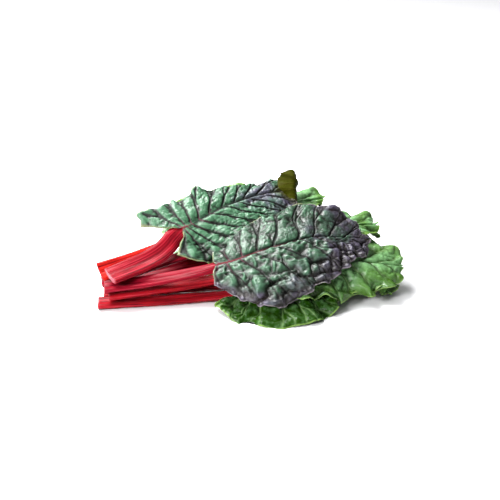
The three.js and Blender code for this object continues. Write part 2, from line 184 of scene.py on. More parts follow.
def splineAt(points, t, runOn):  # a curve through the points, its ends run on straight or held
    points = np.asarray(points, float)
    first = 2 * points[0] - points[1] if runOn else points[0]
    last = 2 * points[-1] - points[-2] if runOn else points[-1]
    padded = np.concatenate([first[None], points, last[None]])
    place = np.clip(t, 0, 1) * (len(points) - 1)
    i = np.minimum(place.astype(int), len(points) - 2)
    w = (place - i).reshape((-1,) + (1,) * (points.ndim - 1))
    return catmullRom(*(padded[i + k] for k in range(4)), w)


tableSize = 64  # the noise tables repeat after this many bumps


def noise(x, y, seed):  # smooth noise from -1 to 1, one bump for each unit
    table = np.random.default_rng(seed).uniform(-1, 1, (tableSize, tableSize))
    i = np.floor(x).astype(int)
    j = np.floor(y).astype(int)
    u = smooth(0, 1, x - i)
    v = smooth(0, 1, y - j)
    left, right = i % tableSize, (i + 1) % tableSize
    low, high = j % tableSize, (j + 1) % tableSize
    below = lerp(table[left, low], table[right, low], u)
    above = lerp(table[left, high], table[right, high], u)
    return lerp(below, above, v)


def leafNoise(flat, bumps, seed, shift=(0, 0)):  # bumps of a height and a size over the flat leaf
    height, size = bumps
    return height * noise(flat[..., 0] / size + shift[0], flat[..., 1] / size + shift[1], seed)


def edgeNoise(arc, size, seed, shift=0):  # bumps of a size along a line
    return noise(arc / size + shift, np.full(arc.shape, 0.5), seed)


def cellGap(x, y, seed):  # 0 on the borders between random cells, rising towards their middles
    jitter = np.random.default_rng(seed).uniform(0.1, 0.9, (tableSize, tableSize, 2))
    i = np.floor(x).astype(int)
    j = np.floor(y).astype(int)
    nearest = np.full(x.shape, np.inf)
    second = np.full(x.shape, np.inf)
    for a in (-1, 0, 1):
        for b in (-1, 0, 1):
            seat = jitter[(i + a) % tableSize, (j + b) % tableSize]
            away = np.hypot(i + a + seat[..., 0] - x, j + b + seat[..., 1] - y)
            second = np.minimum(second, np.maximum(nearest, away))
            nearest = np.minimum(nearest, away)
    return second - nearest


domeForm = {"slimness": 0.55, "unevenness": 1.6, "shiftAcross": 0.16, "shiftAlong": 0.32}


def domes(across, along, gap, size, roundness, seed):
    # rows of rounded domes between the side veins, meeting in creases; heights in mm, about 0 on average
    draw = np.random.default_rng(seed).uniform(-1, 1, (tableSize, tableSize, 4))
    i = np.floor(across).astype(int)
    highest = np.full(across.shape, -np.inf)
    for a in (-1, 0, 1):
        row = (i + a) % tableSize
        shift = draw[row, 0, 3]
        j = np.floor(along / size + shift).astype(int)
        for b in (-1, 0, 1):
            seat = draw[row, (j + b) % tableSize]
            offX = (across - i - a - 0.5 - domeForm["shiftAcross"] * seat[..., 0]) * gap
            offY = along - (j + b + 0.5 + domeForm["shiftAlong"] * seat[..., 1] - shift) * size
            offY = offY * domeForm["slimness"]
            fall = roundness * (np.sqrt(1 + (offX ** 2 + offY ** 2) / roundness ** 2) - 1)
            highest = np.maximum(highest, domeForm["unevenness"] * seat[..., 2] - fall)
    return highest - highest.mean()


def blurred(field, reach):  # a running mean along both ways of a grid, three times
    for axis in (0, 1) * 3:
        padded = np.swapaxes(field, 0, axis)
        padded = np.concatenate([padded[:1]] * (reach + 1) + [padded] + [padded[-1:]] * reach)
        total = np.cumsum(padded, axis=0)
        field = np.swapaxes((total[2 * reach + 1:] - total[:-2 * reach - 1]) / (2 * reach + 1), 0, axis)
    return field


# Blade surface

def measurePath(leaf):  # shares and lengths along the path, and the share at which the blade begins
    steps = np.linspace(0, 1, bladeForm["pathSteps"] + 1)
    lengths = runLength(splineAt(leaf["path"], steps, True), 0)
    bladeStep = round(bladeForm["pathSteps"] * bladeForm["firstPoint"] / (len(leaf["path"]) - 1))
    return steps, lengths, lengths[bladeStep] / lengths[-1]


def bladeLength(leaf):
    _, lengths, start = measurePath(leaf)
    return lengths[-1] * (1 - start)


def pathFrames(leaf, shares):  # carried along without twisting, then rolled, near side down
    steps, lengths, start = measurePath(leaf)
    t = np.interp(np.asarray(shares) * lengths[-1], lengths, steps)
    origin = splineAt(leaf["path"], t, True)
    step = 1e-4
    ahead = splineAt(leaf["path"], np.minimum(t + step, 1), True)
    along = unit(ahead - splineAt(leaf["path"], np.maximum(t - step, 0), True))
    carried = np.array([0.0, 0.0, 1.0])
    up = np.zeros_like(along)
    cut, base, tip = leaf["roll"]
    for k, share in enumerate(shares):
        carried = unit(carried - along[k] * along[k].dot(carried))
        onStalk = share < start
        roll = lerp(cut, base, share / start) if onStalk else lerp(base, tip, (share - start) / (1 - start))
        angle = math.radians(roll)
        up[k] = carried * math.cos(angle) + np.cross(along[k], carried) * math.sin(angle)
    return origin, along, np.cross(along, up), up


def curled(points, curl):  # winds what lies beyond the curl's start about its axis
    along = unit(np.array(curl["along"]))
    up = np.array(curl["up"])
    up = unit(up - along * along.dot(up))
    beyond = np.maximum((points - np.array(curl["from"])) @ along, 0)
    turn = np.minimum(beyond / curl["radius"], math.pi)
    shift = curl["radius"] * np.sin(turn) - (beyond - turn * curl["radius"]) - beyond
    return points + shift[..., None] * along + (curl["radius"] * (1 - np.cos(turn)))[..., None] * up


def bladeSurface(leaf, t, s, panel=0.0, stretch=(1.0, 1.0)):
    # t runs from base to tip, s from the far edge at -1 to the near edge at 1; flat is the leaf laid flat
    start = measurePath(leaf)[2]
    origin, along, near, up = pathFrames(leaf, lerp(start, 1, t))
    points = np.zeros((len(t), len(s), 3))
    flat = np.zeros((len(t), len(s), 2))
    panel = np.broadcast_to(panel, (len(t), len(s)))
    height, waves, phase = leaf["ruffle"]
    swing = np.sin(2 * math.pi * (waves * t + phase))[:, None]
    halves = ((-1, "far", s < 0, stretch[0]), (1, "near", s >= 0, stretch[1]))
    for side, name, columns, wider in halves:
        half = leaf[name]
        q = np.abs(s[columns])
        share = splineAt(np.array(half["outline"], float)[:, None], t, False)[:, 0]
        reach = (half["reach"] * share * wider)[:, None]
        sweep = np.radians(lerp(half["sweep"], leaf["tipSweep"], t ** bladeForm["sweepPower"]))
        outward = near * (side * np.cos(sweep))[:, None] + along * np.sin(sweep)[:, None]
        lift = math.radians(half["lift"])
        fall = math.radians(half["fall"])
        slope = lift - fall * q
        run = reach / fall * (math.sin(lift) - np.sin(slope))
        rise = reach / fall * (np.cos(slope) - math.cos(lift))
        wave = height * q ** bladeForm["rufflePower"] * swing
        relief = (panel[:, columns] + wave) * np.minimum(1, share + bladeForm["tipRelief"])[:, None]
        points[:, columns] = (
            origin[:, None]
            + outward[:, None] * (run - relief * np.sin(slope))[..., None]
            + up[:, None] * (rise + relief * np.cos(slope) + standOff)[..., None])
        flat[:, columns, 0] = (t * bladeLength(leaf))[:, None] + reach * q * np.sin(sweep)[:, None]
        flat[:, columns, 1] = side * reach * q * np.cos(sweep)[:, None]
    if "curl" in leaf:
        points = curled(points, leaf["curl"])
    return points, flat


def gridNormals(grid):
    return unit(np.cross(np.gradient(grid, axis=1), np.gradient(grid, axis=0)))


def coarseBlade(leaf):
    t = np.linspace(0, 1, bladeForm["rows"] + 1)
    s = np.linspace(-1, 1, 2 * bladeForm["halfColumns"] + 1)
    crest = np.where(np.arange(len(t)) % 2 == 1, 1, -1)[:, None]
    panel = bladeForm["panelRise"] * np.minimum(1, np.abs(s) / bladeForm["panelStart"])[None] * crest
    return bladeSurface(leaf, t, s, panel)[0]


# Heap: the leaves are laid on what lies below them, on a map of the height reached so far

heapForm = {
    "cell": 4, "left": -240, "front": -180, "columns": 122, "rows": 94,
    "restGap": 3.6, "spreadCells": 2, "stiffnessPasses": 4, "keelShare": 0.3, "fillSteps": 8,
}
heap = np.zeros((heapForm["rows"], heapForm["columns"]))


def heapPlace(x, y):
    return (y - heapForm["front"]) / heapForm["cell"], (x - heapForm["left"]) / heapForm["cell"]


def addToHeap(grid):
    fill = np.linspace(0, 1, heapForm["fillSteps"] + 1)
    i, j = (w.ravel()[:, None, None, None] for w in np.meshgrid(fill, fill))
    left = lerp(grid[:-1, :-1], grid[1:, :-1], i)
    right = lerp(grid[:-1, 1:], grid[1:, 1:], i)
    points = lerp(left, right, j).reshape(-1, 3)
    place = (np.floor(part).astype(int) for part in heapPlace(points[:, 0], points[:, 1]))
    place = tuple(np.clip(part, 0, size - 1) for part, size in zip(place, heap.shape))
    np.maximum.at(heap, place, points[:, 2])


def heapSurface():  # widened, then rounded off, so it stays above every bump
    reach = heapForm["spreadCells"]
    size = 2 * reach + 1

    def around(field, outside):
        padded = np.pad(field, reach, constant_values=outside)
        return np.lib.stride_tricks.sliding_window_view(padded, (size, size))

    highest = around(heap, -np.inf).max(axis=(2, 3))
    return np.nanmean(around(highest, np.nan), axis=(2, 3))


def surfaceHeight(surface, x, y):
    nearlyOne = 1.001  # keeps the cell beyond inside the map
    places = zip(heapPlace(x, y), heap.shape)
    row, column = (np.clip(part - 0.5, 0, size - nearlyOne) for part, size in places)
    c = column.astype(int)
    r = row.astype(int)
    low = lerp(surface[r, c], surface[r, c + 1], column - c)
    high = lerp(surface[r + 1, c], surface[r + 1, c + 1], column - c)
    return lerp(low, high, row - r)


def raiseOnHeap(grid):  # how far each point of a blade has to rise to lie on the heap
    offMidrib = np.abs(np.linspace(-1, 1, grid.shape[1]))
    t = np.linspace(0, 1, grid.shape[0])[:, None]
    ribHeight = lerp(stalkForm["height"]["rib"], stalkForm["height"]["tip"], t)
    keel = np.where(offMidrib < heapForm["keelShare"], ribHeight, 0)
    below = surfaceHeight(heapSurface(), grid[..., 0], grid[..., 1])
    rest = np.where(below > 0, below + heapForm["restGap"] + keel, bladeForm["thickness"] / 2 + keel)
    rise = np.maximum(0, rest - grid[..., 2])
    for _ in range(heapForm["stiffnessPasses"]):
        padded = np.pad(rise, 1, constant_values=np.nan)
        beside = [padded[:-2, 1:-1], padded[2:, 1:-1], padded[1:-1, :-2], padded[1:-1, 2:]]
        rise = np.maximum(rise, np.nanmean(beside, axis=0))
    return rise


# Stalk sections: a channel on top and a round back, closing to a plain rib under the blade

stalkForm = {
    "rings": 8, "topPoints": 7,
    "width": {"cut": 25, "base": 15, "rib": 6.4, "tip": 2.2},
    "height": {"cut": 10, "base": 8, "rib": 4.4, "tip": 1.6},
    "taperPower": 0.8, "roundingPower": 3, "flarePower": 8,
    "section": [(-1, -0.34), (-0.82, -0.06), (-0.42, -0.12), (0, -0.24), (0.42, -0.12), (0.82, -0.06),
                (1, -0.34), (0.68, -0.82), (0.24, -1), (-0.24, -1), (-0.68, -0.82)],
    "ribSection": [(-1, -0.5), (-0.75, -0.26), (-0.4, -0.08), (0, 0), (0.4, -0.08), (0.75, -0.26),
                   (1, -0.5), (0.68, -0.84), (0.24, -1), (-0.24, -1), (-0.68, -0.84)],
    "fineAround": 6, "fineAlong": 6,  # points for each of the coarse ones
    "fullGirth": 40,  # a thinner stretch has lower ridges and bumps
    "streakDepth": 0.28, "streakWidth": 2.6, "streakLength": 90,  # fine lengthwise ridges
    "bumpDepth": 0.5, "bumpWidth": 14, "bumpLength": 34,
    "cutDip": 0.9, "cutBevel": 0.7, "cutInset": 0.93, "tipRun": 0.4,
    "cutRings": [(0.3, 0.9), (0.55, 0.75), (0.75, 0.4), (0.9, 0.1), (1, 0)],  # shares of reach and dip
    "ragged": 0.35, "raggedTurn": 3, "raggedShift": 7,
}


def ribWidths(leaf, t):
    width, height = stalkForm["width"], stalkForm["height"]
    flare = (1 - t) ** stalkForm["flarePower"]
    rib = leaf["girth"] * lerp(width["rib"], width["tip"], t)
    wide = lerp(rib, leaf.get("neck", leaf["girth"]) * width["base"], flare)
    return wide, lerp(lerp(height["rib"], height["tip"], t), height["base"], flare)


def stalkRing(origin, near, up, width, height, ribness):
    shape = lerp(np.array(stalkForm["section"]), np.array(stalkForm["ribSection"]), ribness)
    ring = origin + shape[:, :1] * (width / 2) * near + shape[:, 1:] * height * up
    ring[:, 2] = np.maximum(ring[:, 2], 0)  # it lies on the table with a flat underside
    return ring


def stalkRings(leaf, grid):  # bent up to where the blade came to lie, then on under the blade
    start = measurePath(leaf)[2]
    count = stalkForm["rings"]
    origin, _, near, up = pathFrames(leaf, start * np.arange(count) / count)
    baseOrigin, _, _, baseUp = (part[0] for part in pathFrames(leaf, [start]))
    middle = bladeForm["halfColumns"]
    raised = grid[0, middle] - baseOrigin - baseUp * standOff
    neck = leaf.get("neck", leaf["girth"]) * stalkForm["width"]["base"]
    rings = []
    for k in range(count):
        v = k / count
        width = lerp(leaf["girth"] * stalkForm["width"]["cut"], neck, v ** stalkForm["taperPower"])
        height = lerp(stalkForm["height"]["cut"], stalkForm["height"]["base"], v)
        ribness = v ** stalkForm["roundingPower"]
        rings.append(stalkRing(origin[k] + raised * v * v, near[k], up[k], width, height, ribness))
    normals = gridNormals(grid)
    for row in range(leaf["ribRows"] + 1):
        upHere = normals[row, middle]
        nearHere = unit(np.cross(grid[row + 1, middle] - grid[max(row - 1, 0), middle], upHere))
        width, height = ribWidths(leaf, row / bladeForm["rows"])
        rings.append(stalkRing(grid[row, middle] - upHere * standOff, nearHere, upHere, width, height, 1))
    return np.array(rings)


# Lay the bunch, from the table upwards

laid = {}
turns = sorted((turn, name, kind) for name, leaf in leaves.items()
               for turn, kind in zip(leaf["layer"], ("stalk", "blade")))
for _, name, kind in turns:
    leaf = leaves[name]
    grid = coarseBlade(leaf)
    if kind == "stalk":
        addToHeap(stalkRings(leaf, grid)[:stalkForm["rings"], :stalkForm["topPoints"]])
    else:
        rise = raiseOnHeap(grid)
        grid[..., 2] += rise
        addToHeap(grid)
        laid[name] = {"rise": rise, "grid": grid, "rings": stalkRings(leaf, grid)}
anchor = laid["table_front"]["grid"]
lowest = (anchor - np.abs(gridNormals(anchor)) * bladeForm["thickness"] / 2).min(axis=(0, 1))
centring = np.array(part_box("blade_table_front")[0]) * 1000 - lowest  # the frame has the bunch centred
centring[2] = 0
corners = {name: np.array(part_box("blade_" + name)[1]) * 1000 for name in leaves}
worst = max(np.abs(laid[name]["grid"].max(axis=(0, 1)) + centring - corners[name]).max() for name in leaves)
print("bunch laid, moved by", np.round(centring, 2).tolist(), "mm, off by", round(float(worst), 2))


# Meshes

def makePiece(name, node, points, faces, materials, faceMaterial, values):
    mesh = bpy.data.meshes.new(name)
    mesh.from_pydata(((points + centring) / 1000).tolist(), [], faces)
    for material in materials:
        mesh.materials.append(material)
    mesh.polygons.foreach_set("material_index", np.asarray(faceMaterial, np.int32))
    mesh.polygons.foreach_set("use_smooth", np.ones(len(faces), bool))
    for key, field in values.items():
        attribute = mesh.attributes.new(key, "FLOAT", "POINT")
        attribute.data.foreach_set("value", np.asarray(field, np.float32).ravel())
    mesh.update()
    piece = bpy.data.objects.new(name, mesh)
    bpy.context.scene.collection.objects.link(piece)
    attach(piece, "root")
    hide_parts(node)


def gridFaces(rows, columns, first, flip):
    r, c = (w.ravel() for w in np.meshgrid(np.arange(rows - 1), np.arange(columns - 1), indexing="ij"))
    a = first + r * columns + c
    quads = np.stack([a, a + 1, a + columns + 1, a + columns], axis=1)
    return (quads[:, ::-1] if flip else quads).tolist()


def sheetFaces(rows, columns):  # both faces of a thin sheet and its rim, with the material of each face
    count = rows * columns
    faces = gridFaces(rows, columns, 0, False) + gridFaces(rows, columns, count, True)
    ring = list(range(columns - 1))
    ring += [r * columns + columns - 1 for r in range(rows - 1)]
    ring += [(rows - 1) * columns + c for c in range(columns - 1, 0, -1)]
    ring += [r * columns for r in range(rows - 1, 0, -1)]
    rim = [(b, a, count + a, count + b) for a, b in zip(ring, ring[1:] + ring[:1])]
    half = len(faces) // 2
    return faces + rim, [0] * half + [1] * (half + len(rim))


# Outline and relief of a blade: sizes in millimetres, and shares from base to tip or from midrib to edge

crinkle = {  # for the dark and the green leaves
    "rowSteps": (13, 10), "columnSteps": (18, 13),
    "groove": (2.2, 1.0), "grooveWidth": (1.0, 1.8), "shade": (0.6, 0.2), "shadeWidth": (2.8, 2.5),
    "cavityShade": (0.95, 0.35), "veinWander": (0.26, 0.2), "forkFrom": (0.45, 0.4), "forkSpread": (0.22, 0.24),
    "dome": (0.4, 0.7), "domeSize": (24, 20), "domeRoundness": (6.5, 8.0),
    "cell": (0.5, 0.3), "cellSize": (5.5, 6), "crumple": (4.5, 6.0), "crumpleSize": (30, 34),
    "fold": (3.0, 3.4), "foldSize": (15, 18), "foldFrom": (0.0, 0.1),
    "wrinkle": (0.55, 0.35), "wrinkleSize": (6.5, 8),
    "edgeWave": (4.0, 17.0), "edgeWaveSize": (14, 18), "edgeWavePower": (4, 3), "edgeRoll": (2.0, 1.0),
    "lobe": (0.06, 0.08), "lobeSize": (24, 26), "notch": (0.03, 0.02), "notchSize": (8, 9),
    "shadedEdge": (0.6, 0.8), "yellow": (0.0, 0.6), "paleVein": (9, 60), "paleTo": (0.3, 1.0),
    "ribLine": (0.9, 0),
}
crinkle = {tone: {key: pair[k] for key, pair in crinkle.items()} for k, tone in ((0, "dark"), (1, "green"))}
edgeForm = {
    "cornerShare": 0.02, "furthest": 1.03,  # in blade lengths, so that the tip is round
    "baseWave": 5, "baseWaveSize": 16, "baseFade": 0.05,  # the lowest edge waves in and out too
    "baseWaveFrom": (0.1, 0.35), "skirtFrom": (0.15, 0.6),
}
tipForm = {  # a rolled tip has a plain edge and is stretched smooth
    "plain": {"calm": (0.98, 0.6), "narrowing": 0.15, "narrowFrom": 0.75,
              "flattest": 0.4, "flat": (0.82, 1)},
    "curled": {"calm": (0.72, 0.5), "narrowing": 0.7, "narrowFrom": 0.965,
               "flattest": 0.25, "flat": (0.66, 0.78)},
}
veinForm = {  # bumps have a height and a size
    "halvings": 26, "probe": 0.5, "wanderSize": 38, "shake": (0.05, 11), "farNumber": 20.35, "number": 20,
    "forkUneven": (0.14, 20), "forkedShare": 0.6, "widestGap": 40,
}
midribForm = {
    "widthShare": 0.14, "trough": 2.6, "troughFrom": (0.01, 0.12), "troughWidth": 3.2,
    "back": 0.3, "backWidth": 0.9,
}
reliefForm = {
    "leaveRib": (0.5, 3.5), "crowdedGap": 12, "warp": (3, 14), "wander": (4, 13), "domeShake": (0.14, 9),
    "domeGap": (5, 22), "forkedGroove": 0.5, "cellBorder": 0.2, "cellLevel": 0.7,
    "crumpleFrom": (0.15, 0.9), "crumpleLevel": 0.35, "crumplePower": 0.8,
    "foldTo": 0.95, "foldPower": 0.7, "foldLevel": 0.4, "wrinklePower": 0.8,
    "waveEnd": (1, 0.7), "rollFrom": 0.93, "tipRim": 0.35, "tipRimAlong": (0.76, 0.95),
    "tipRimAcross": (0.5, 1), "thinRim": 0.55, "thinFrom": 0.95,
}


def tipOf(leaf):
    return tipForm["curled" if "curl" in leaf else "plain"]


def edgeStretch(leaf, k, t, arc, edgeX):  # how far an edge stands out against its outline
    look = crinkle[leaf["tone"]]
    tip = tipOf(leaf)
    seed = leaf["seed"] * 100 + 20 + 2 * k
    lobes = leaf["lobed"][k] * look["lobe"] * edgeNoise(arc, look["lobeSize"], seed)
    notches = leaf["lobed"][k] * look["notch"] * edgeNoise(arc, look["notchSize"], seed + 1)
    lobed = (1 + lobes + notches) * (1 - leaf["corner"][k] * np.exp(-t / edgeForm["cornerShare"]))
    at, depth, width = leaf["dents"][k]
    plain = 1 - tip["narrowing"] * smooth(tip["narrowFrom"], 1, t) - depth * bell(t - at, width)
    stretch = plain * lerp(1, lobed, smooth(*tip["calm"], t))
    if "curl" in leaf:
        return stretch
    length = bladeLength(leaf)
    ahead = np.maximum(edgeX - t * length, 0.01)
    return np.minimum(stretch, np.minimum(1, (edgeForm["furthest"] - t) * length / ahead))


def wavedBase(leaf, base, flat, t, s):
    farShift = 40  # so that the two halves differ
    shift = np.where(s < 0, farShift, 0)
    wave = edgeNoise(np.abs(flat[0, :, 1]), edgeForm["baseWaveSize"], leaf["seed"] * 100 + 1, shift)
    wave = edgeForm["baseWave"] * wave * smooth(*edgeForm["baseWaveFrom"], np.abs(s))
    wave += leaf["skirt"] * smooth(*edgeForm["skirtFrom"], s)
    fade = np.exp(-t / edgeForm["baseFade"])[:, None]
    return base + unit(base[1] - base[0])[None] * (wave[None] * fade)[..., None]


def ribSink(t):  # how far the midrib lies under the blade's own level
    return midribForm["trough"] * smooth(*midribForm["troughFrom"], t)


def veinField(leaf, x, y, near):  # the number of the side vein through a point, its way from the midrib
    form = leaf["veins"]
    length = bladeLength(leaf)
    first, last, power = (np.where(near, a, b) for a, b in zip(form["near"], form["far"]))
    low = np.zeros_like(x)
    high = np.ones_like(x)
    for _ in range(veinForm["halvings"]):
        middle = (low + high) / 2
        slant = np.radians(lerp(first, last, middle ** power))
        beyond = middle * length + np.abs(y) * np.tan(slant) > x
        low = np.where(beyond, low, middle)
        high = np.where(beyond, middle, high)
    return form["along"] * high + form["fan"] * high ** power, np.hypot(y, x - high * length)


def sideVeins(leaf, sheet):  # a little out of true, forking on the way to the edge
    look = crinkle[leaf["tone"]]
    seed = leaf["seed"] * 100
    flat = sheet["flat"]
    x, y = flat[..., 0], flat[..., 1]
    near = np.broadcast_to(sheet["s"] >= 0, x.shape)
    number, fromMidrib = veinField(leaf, x, y, near)
    step = veinForm["probe"]
    slopeX = (veinField(leaf, x + step, y, near)[0] - number) / step
    slopeY = (veinField(leaf, x, y + np.where(near, step, -step), near)[0] - number) / step
    gap = 1 / np.maximum(np.hypot(slopeX, slopeY), 0.01)  # the distance from one vein to the next
    number += leafNoise(flat, (look["veinWander"], veinForm["wanderSize"]), seed + 2)
    number += leafNoise(flat, veinForm["shake"], seed + 15)
    number = number + np.where(near, 0, veinForm["farNumber"]) + veinForm["number"]
    offVein = np.abs(number - np.round(number))  # 0 on a vein, 0.5 on the crest between two
    fork = smooth(look["forkFrom"], 1, sheet["q"] + leafNoise(flat, veinForm["forkUneven"], seed + 3))
    off = np.abs(offVein - look["forkSpread"] * fork) * np.minimum(gap, veinForm["widestGap"])
    ribHalf = ribWidths(leaf, sheet["t"])[0] * midribForm["widthShare"]
    fromRib = np.abs(y)
    leaveRib = smooth(*reliefForm["leaveRib"], fromRib / ribHalf)
    return {"number": number, "gap": gap, "fork": fork, "off": off, "fromMidrib": fromMidrib,
            "fromRib": fromRib, "ribHalf": ribHalf, "leaveRib": leaveRib}


def bladeRelief(leaf, sheet, veins):
    look, form = crinkle[leaf["tone"]], reliefForm
    seed = leaf["seed"] * 100
    t, s, q, flat = sheet["t"], sheet["s"], sheet["q"], sheet["flat"]
    leaveRib, gap = veins["leaveRib"], veins["gap"]
    # Domes between the side veins, grooves along them, shallower where they crowd, and small cells
    shaken = veins["number"] + leafNoise(flat, form["domeShake"], seed + 13)
    outwards = veins["fromMidrib"] + leafNoise(flat, form["wander"], seed + 14, (0, 7))
    domeGap = np.clip(gap, *form["domeGap"])
    dome = domes(shaken, outwards, domeGap, look["domeSize"], look["domeRoundness"], seed + 6)
    deep = look["groove"] * np.minimum(1, gap / form["crowdedGap"])
    groove = deep * bell(veins["off"], look["grooveWidth"]) * lerp(1, form["forkedGroove"], veins["fork"])
    relief = leaveRib * (look["dome"] * dome - groove)
    warp = [leafNoise(flat, form["warp"], seed + 4), leafNoise(flat, form["warp"], seed + 5, (9, 0))]
    warped = flat + np.stack(warp, axis=-1)
    cells = warped / look["cellSize"]
    cell = 1 - np.exp(-cellGap(cells[..., 0], cells[..., 1] + 20, seed + 8) / form["cellBorder"])
    relief += look["cell"] * leaveRib * (cell - form["cellLevel"])
    # Crumples and folds towards the edge, fine wrinkles all over
    crumple = np.abs(leafNoise(warped, (1, look["crumpleSize"]), seed + 7, (0, 5))) ** form["crumplePower"]
    relief += look["crumple"] * smooth(*form["crumpleFrom"], q) * (form["crumpleLevel"] - crumple)
    fold = np.abs(leafNoise(warped, (1, look["foldSize"]), seed + 16, (3, 0))) ** form["foldPower"]
    crush = np.where(s < 0, *leaf["crush"])
    folded = look["fold"] * crush * smooth(look["foldFrom"], form["foldTo"], q)
    relief += folded * (fold - form["foldLevel"])
    wrinkle = 1 - 2 * np.abs(leafNoise(warped, (1, look["wrinkleSize"]), seed + 17, (5, 9)))
    relief += look["wrinkle"] * crush ** form["wrinklePower"] * leaveRib * wrinkle
    # The edge waves and rolls down, and the tip is stretched smooth
    wave = edgeNoise(sheet["arc"], look["edgeWaveSize"], seed + 9) * smooth(*form["waveEnd"], t)
    wave = look["edgeWave"] * leaf["wave"] * wave * q ** look["edgeWavePower"]
    relief = relief + wave - look["edgeRoll"] * smooth(form["rollFrom"], 1, q)
    relief *= lerp(1, tipOf(leaf)["flattest"], smooth(*tipOf(leaf)["flat"], t))
    atTipRim = smooth(*form["tipRimAlong"], t) * smooth(*form["tipRimAcross"], q)
    relief *= lerp(1, form["tipRim"], atTipRim)
    # The midrib sits in a trough, its own back rounded
    fromRib, ribHalf = veins["fromRib"], veins["ribHalf"]
    relief -= ribSink(t) * bell(fromRib, midribForm["troughWidth"] * ribHalf)
    relief += midribForm["back"] * bell(fromRib, midribForm["backWidth"] * ribHalf)
    return {"relief": relief, "dome": dome, "cell": cell, "wave": wave}


tintForm = {
    "veinWidth": 1.0, "veinEnd": (0.99, 0.94), "veinRedWidth": 0.8, "paleFade": 0.4, "ribLineStart": 0.1,
    "patch": (0.22, 22), "fleck": (0.12, 7), "farPurple": 0.4, "purpleBase": 0.07,
    "turned": (0.66, 0.73), "yellowPatch": (1, 17), "yellow": (-0.2, 0.7), "yellowLevel": 0.4,
    "blur": 3, "ridge": 0.6, "domeShading": 0.06, "waveShading": 0.03, "ridgeCell": 0.3, "cellLevel": 0.6,
    "shadedEdge": (0.35, 0.95), "edge": (2.2, 0.4), "edgeClear": (0.1, 0.2), "rib": (1.0, 0.5),
}


def bladeTints(leaf, sheet, veins, parts, base):  # what the blade's materials read at each point
    look, form = crinkle[leaf["tone"]], tintForm
    seed = leaf["seed"] * 100
    t, s, q, flat = sheet["t"], sheet["s"], sheet["q"], sheet["flat"]
    forked = lerp(1, veinForm["forkedShare"], veins["fork"])
    vein = bell(veins["off"], form["veinWidth"]) * smooth(*form["veinEnd"], t) * forked
    # painted shade: the dark midrib line stands for the shade in its trough
    if look["ribLine"]:  # the midrib shows as a dark line
        ribLine = bell(veins["fromRib"], look["ribLine"])
        vein = np.maximum(vein, ribLine * smooth(0, form["ribLineStart"], t))
    veinRed = np.exp(-(veins["off"] / form["veinRedWidth"]) ** 2 - veins["fromMidrib"] / look["paleVein"])
    purple = 0
    if "purple" in leaf:
        tint = leaf["purple"]
        patches = leafNoise(flat, form["patch"], seed + 10) + leafNoise(flat, form["fleck"], seed + 11)
        rimSide = tint["edge"] * q ** 2 * np.where(s < 0, form["farPurple"], 1)
        rimSide = rimSide + tint["base"] * np.exp(-t / form["purpleBase"])
        purple = np.maximum(smooth(tint["from"], tint["to"], t + rimSide + patches), tint["least"])
    if "curl" in leaf:  # the old rolled tip has turned
        yellow = smooth(*form["turned"], t)
    else:
        # on the green leaves the yellow-green patches towards the edge are partly the leaf's own tone and
        # partly painted light shining through the thin leaf
        yellowPatch = leafNoise(flat, form["yellowPatch"], seed + 18)
        yellow = smooth(*form["yellow"], yellowPatch + q - form["yellowLevel"])
        yellow = yellow * leaf["bloom"] * look["yellow"]
    # painted shade: darker where the relief lies below its blurred self, in hollows and creases
    hollow = parts["relief"] - blurred(parts["relief"], form["blur"])
    # painted light on the domes' tops and the edge waves' crests, painted shade in the troughs between them
    ridge = form["ridge"] + look["cavityShade"] * hollow + form["domeShading"] * parts["dome"]
    ridge += form["waveShading"] * parts["wave"]
    ridge += form["ridgeCell"] * (parts["cell"] - form["cellLevel"])
    # painted shade along both sides of the veins
    ridge -= look["shade"] * veins["leaveRib"] * bell(veins["off"], look["shadeWidth"]) * forked
    # painted shade: darker towards the near edge, on the half that is rolled down
    ridge = ridge * leaf["bloom"] * (1 - look["shadedEdge"] * smooth(*form["shadedEdge"], s))
    fromEdge = runLength(base, 1)
    fromEdge = np.minimum(fromEdge, fromEdge[:, -1:] - fromEdge)
    baseEdge = smooth(*form["edge"], runLength(base, 0)) * smooth(*form["edgeClear"], q)
    fadeFrom, fadeTo, leftRed = leaf["ribRed"]
    ribRed = lerp(1, leftRed, smooth(fadeFrom, fadeTo, t))
    return {
        "vein": vein, "veinRed": veinRed * smooth(look["paleTo"], form["paleFade"] * look["paleTo"], t),
        "rib": smooth(*form["rib"], veins["fromRib"] / veins["ribHalf"]) * ribRed, "alongRib": t,
        "ridge": np.clip(ridge, 0, 1), "edge": np.maximum(smooth(*form["edge"], fromEdge), baseEdge),
        "purple": purple, "yellow": yellow,
    }


